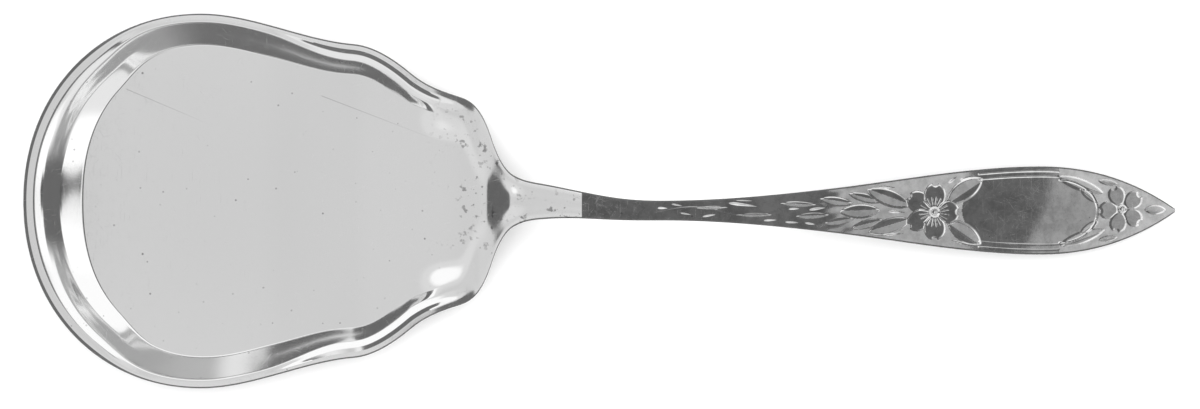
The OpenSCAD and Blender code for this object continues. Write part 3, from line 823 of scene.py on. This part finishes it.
across = add(tree, "ShaderNodeMath", {0: way["Y"]}, operation="ARCSINE")
across = add(tree, "ShaderNodeMath", {0: across.outputs[0]}, operation="DEGREES").outputs[0]
along = calc(tree, degrees_from_up(way["X"]), calc(tree, across, 0.06, "MULTIPLY"), "SUBTRACT")
along_grey = by_angle(along, 90.0, (
    (-90, 0.13), (90, 0.15), (-79.5, 0.14), (-76.5, 0.66), (-30, 0.66), (-12, 0.63), (-4, 0.65),
    (0.6, 0.7), (1.6, 0.13), (10, 0.13), (14, 0.33), (31, 0.36), (34, 1.0), (60, 1.05),
))
across_grey = by_angle(across, 90.0, (
    (-90, 0.3), (90, 0.3), (-56, 0.38), (-50, 0.85), (-10, 0.85), (10, 1.05), (50, 1.05), (58, 0.8),
    (66, 0.38),
))

# A dark gap over the handle ends in a crisp edge, and the surround brightens a little to both sides.
gap_start = step(tree, along, 10.0, 14.0)
gap_end = step(tree, along, 23.4, 23.6, 1.0, 0.0)
gap = calc(tree, gap_start, gap_end, "MULTIPLY")
strength = calc(
    tree,
    step(tree, absolute(tree, across), 0.5, 9.0, 1.0, 1.12),
    add(tree, "ShaderNodeMapRange", {0: gap, 3: 1.0, 4: 0.39}).outputs[0],
    "MULTIPLY",
)
along_grey = add(
    tree,
    "ShaderNodeVectorMath",
    {0: along_grey, "Scale": strength},
    operation="SCALE",
).outputs[0]

# A dark wedge stands in the pale panel that the tip of the bowl mirrors.
beside = absolute(tree, calc(tree, across, 2.6))
wedge = calc(tree, along, calc(tree, beside, 1.6, "MULTIPLY"), "SUBTRACT")
wedge = step(tree, wedge, 40.0, 40.6)
narrow = step(tree, beside, 4.5, 5.5, 1.0, 0.0)
along_grey = blend(tree, calc(tree, wedge, narrow, "MULTIPLY"), along_grey, 0.08)
far_left = step(tree, across, 15.0, 22.0)
far_right = step(tree, across, -30.0, -22.0, 1.0, 0.0)
surround = blend(tree, calc(tree, far_left, far_right, "MAXIMUM"), along_grey, across_grey)

# Low down the grey goes by the compass. Ahead of the bowl it does so only in a second reflection.
turn = add(tree, "ShaderNodeMath", {0: way["Y"], 1: way["X"]}, operation="ARCTAN2")
turn = add(tree, "ShaderNodeMath", {0: turn.outputs[0]}, operation="DEGREES").outputs[0]
low_grey = by_angle(turn, 180.0, (
    (-180, 0.12), (180, 0.12), (-150, 0.15), (-95, 0.17), (-80, 0.35), (-25, 0.4), (-12, 0.14), (12, 0.14),
    (25, 0.4), (75, 0.42), (88, 0.5), (99, 0.52), (104.5, 0.9), (108.6, 0.9), (110.1, 0.15), (150, 0.14),
))
turn = absolute(tree, turn)
ray = add(tree, "ShaderNodeLightPath").outputs
away = calc(tree, step(tree, turn, 12.0, 24.0, 1.0, 0.0), step(tree, turn, 70.0, 82.0), "MAXIMUM")
away = calc(tree, away, step(tree, turn, 145.0, 160.0, 1.0, 0.0), "MULTIPLY")
low_away = calc(tree, step(tree, way["Z"], 0.45, 0.53, 1.0, 0.0), away, "MULTIPLY")
ahead = step(tree, turn, 82.0, 90.0, 1.0, 0.0)
ahead = calc(tree, ahead, step(tree, ray["Glossy Depth"], 1.4, 1.6), "MULTIPLY")
low_ahead = calc(tree, step(tree, way["Z"], 0.37, 0.44, 1.0, 0.0), ahead, "MULTIPLY")
lowest = step(tree, way["Z"], 0.165, 0.215, 1.0, 0.0)
low_down = calc(tree, calc(tree, low_away, low_ahead, "MAXIMUM"), lowest, "MAXIMUM")
surround = blend(tree, low_down, surround, low_grey)
backdrop = blend(tree, ray["Is Camera Ray"], surround, 0.9)
glow = add(tree, "ShaderNodeBackground", {"Color": backdrop, "Strength": 1.0})
add(tree, "ShaderNodeOutputWorld", {"Surface": glow.outputs[0]})

lamp_light = bpy.data.lights.new("table lamp", "AREA")
lamp_light.shape = "DISK"
lamp_light.size = 2.4
lamp_light.energy = 34
lamp = bpy.data.objects.new("table lamp", lamp_light)
lamp.location = (0, 0.1, 1.3)
lamp.visible_glossy = False
lamp.visible_camera = False
bpy.context.scene.collection.objects.link(lamp)

# Camera
# Straight above the spoon, with a long lens.
AIM_X, AIM_Y, AIM_Z = -0.00013, -0.00046, 0.006
CAMERA_HEIGHT = 0.6
FRAME_WIDTH = 0.1575
camera_data = bpy.data.cameras.new("camera")
camera_data.sensor_width = 36
camera_data.lens = 36 * CAMERA_HEIGHT / FRAME_WIDTH
camera = bpy.data.objects.new("camera", camera_data)
camera.location = (AIM_X, AIM_Y, AIM_Z + CAMERA_HEIGHT)
bpy.context.scene.collection.objects.link(camera)
bpy.context.scene.camera = camera
bpy.context.scene.view_settings.view_transform = "Standard"
